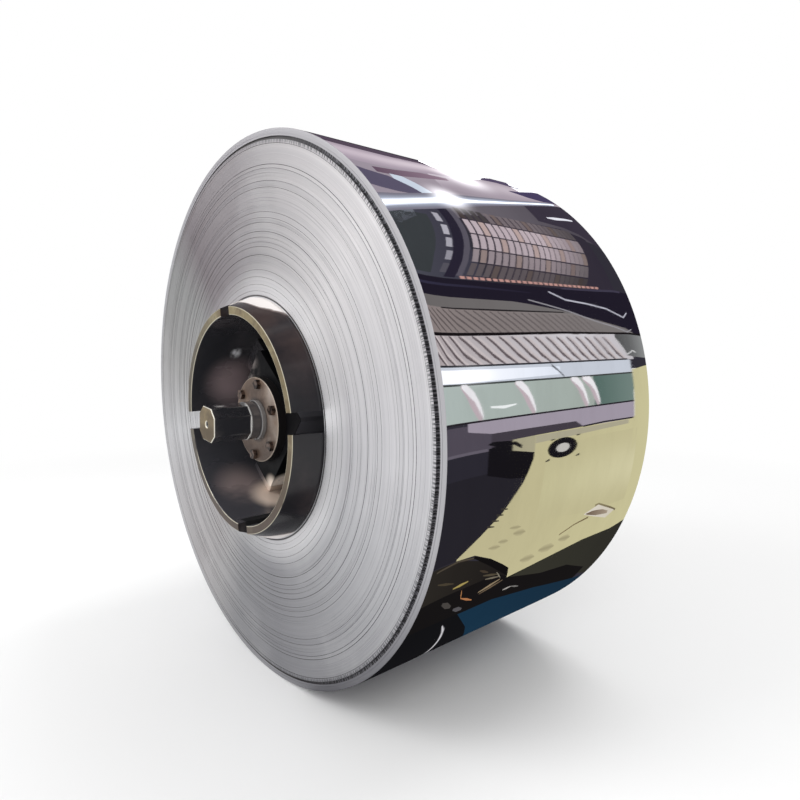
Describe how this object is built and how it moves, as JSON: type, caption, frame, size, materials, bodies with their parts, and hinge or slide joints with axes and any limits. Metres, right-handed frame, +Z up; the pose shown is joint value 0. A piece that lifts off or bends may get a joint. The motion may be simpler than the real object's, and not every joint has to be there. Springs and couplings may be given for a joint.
{
  "type": "steel coil",
  "caption": "Wound coil of mirror-polished steel strip on the slotted expanding mandrel that carries it through its bore.",
  "frame": {"origin": "on the floor, under the middle of the whole part's box", "axes": "+Y along the coil's axis from the mandrel's nose to the drive end, +Z up, +X to the right seen from the nose"},
  "size_m": [1.14, 0.707, 1.14],
  "materials": {
    "polished_strip": "mirror-polished strip, cut edges showing on the ends",
    "dark_mandrel_steel": "oiled, darkened and worn smooth",
    "bare_flange_steel": "bare, browned",
    "oiled_shaft_steel": "oiled and glossy, worn bright on its edges",
    "bolt_steel": "bare, browned"
  },
  "bodies": {
    "root": {"strip_coil": "polished_strip", "leaf_1": "dark_mandrel_steel", "leaf_2": "dark_mandrel_steel", "leaf_3": "dark_mandrel_steel", "leaf_4": "dark_mandrel_steel", "mandrel_core": "dark_mandrel_steel", "nose_flange": "bare_flange_steel", "nose_shaft": "oiled_shaft_steel", "flange_bolt_1": "bolt_steel", "flange_bolt_2": "bolt_steel", "flange_bolt_3": "bolt_steel", "flange_bolt_4": "bolt_steel", "flange_bolt_5": "bolt_steel", "flange_bolt_6": "bolt_steel"}
  },
  "joints": []
}
